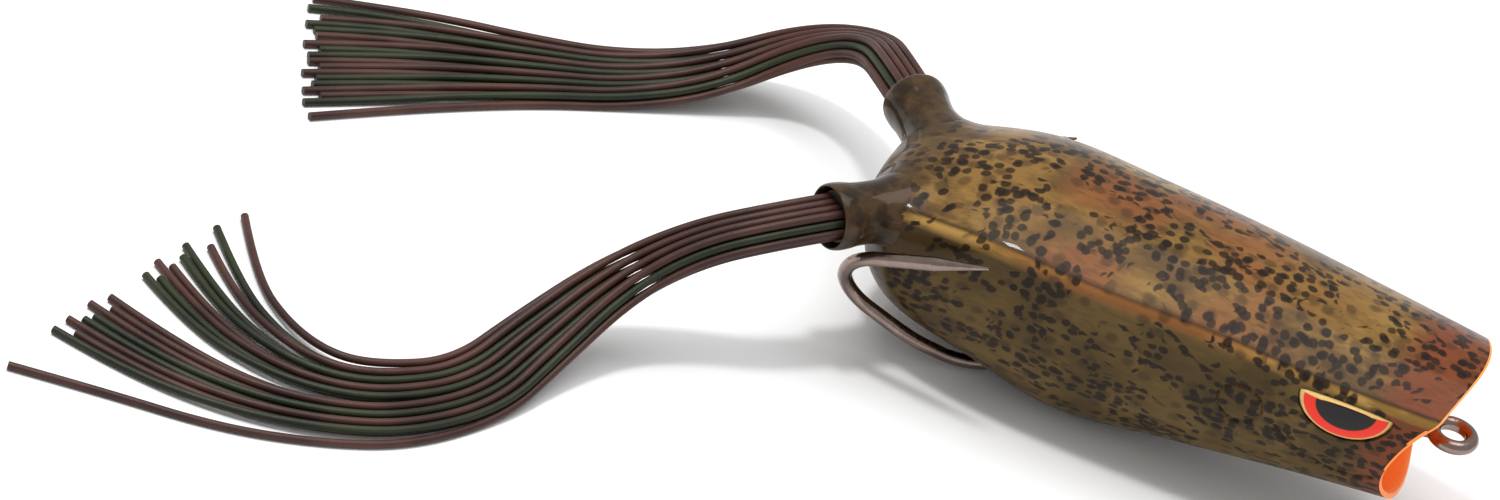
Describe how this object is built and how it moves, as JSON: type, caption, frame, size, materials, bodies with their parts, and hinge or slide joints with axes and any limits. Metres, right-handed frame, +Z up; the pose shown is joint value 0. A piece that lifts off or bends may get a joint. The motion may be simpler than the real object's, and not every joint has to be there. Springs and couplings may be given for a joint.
{
  "type": "topwater popper",
  "caption": "Hollow soft frog-shaped topwater lure with a cupped mouth, a line-tie ring in the mouth, a double hook round the rear of the body and two legs of loose rubber strands.",
  "frame": {"origin": "on the floor under the middle of the body with its hook", "axes": "+X towards the mouth, +Y to the lure's left, +Z up"},
  "size_m": [0.1237, 0.0938, 0.023],
  "materials": {
    "body_skin": "glossy translucent soft PVC, olive brown with dark flakes",
    "hook_wire": "polished dark bronze wire",
    "lead": "dull cast lead",
    "eye_print": "printed foil, black pupil with red and gold rings",
    "eye_dome": "clear resin dome",
    "leg_knot": "matte",
    "strand_brown": "satin silicone",
    "strand_green": "satin silicone"
  },
  "bodies": {
    "lure_body": {"body_shell": "body_skin", "right_eye_print": "eye_print", "right_eye_dome": "eye_dome", "left_eye_print": "eye_print", "left_eye_dome": "eye_dome"},
    "hook": {"double_hook": "hook_wire", "belly_weight": "lead"},
    "right_leg": {"right_leg_knot": "leg_knot", "right_strand_01": "strand_brown", "right_strand_02": "strand_green", "right_strand_03": "strand_brown", "right_strand_04": "strand_brown", "right_strand_05": "strand_green", "right_strand_06": "strand_green", "right_strand_07": "strand_brown", "right_strand_08": "strand_brown", "right_strand_09": "strand_brown", "right_strand_10": "strand_green", "right_strand_11": "strand_green", "right_strand_12": "strand_brown", "right_strand_13": "strand_brown", "right_strand_14": "strand_green", "right_strand_15": "strand_green", "right_strand_16": "strand_brown", "right_strand_17": "strand_green", "right_strand_18": "strand_brown"},
    "left_leg": {"left_leg_knot": "leg_knot", "left_strand_01": "strand_brown", "left_strand_02": "strand_green", "left_strand_03": "strand_brown", "left_strand_04": "strand_brown", "left_strand_05": "strand_green", "left_strand_06": "strand_green", "left_strand_07": "strand_brown", "left_strand_08": "strand_brown", "left_strand_09": "strand_brown", "left_strand_10": "strand_green", "left_strand_11": "strand_green", "left_strand_12": "strand_brown", "left_strand_13": "strand_brown", "left_strand_14": "strand_green", "left_strand_15": "strand_green", "left_strand_16": "strand_brown", "left_strand_17": "strand_green", "left_strand_18": "strand_brown"}
  },
  "joints": [
    {"name": "hook_drop", "type": "hinge", "parent": "lure_body", "child": "hook", "pos_m": [0.0181, 0, 0.0107], "axis": [0, -1, 0], "range_deg": [0, 3]},
    {"name": "right_leg_swing", "type": "hinge", "parent": "lure_body", "child": "right_leg", "pos_m": [-0.03039, -0.01159, 0.0156], "axis": [0, 0, 1], "range_deg": [-8, 20]},
    {"name": "left_leg_swing", "type": "hinge", "parent": "lure_body", "child": "left_leg", "pos_m": [-0.03039, 0.01159, 0.0156], "axis": [0, 0, -1], "range_deg": [-6, 20]}
  ]
}
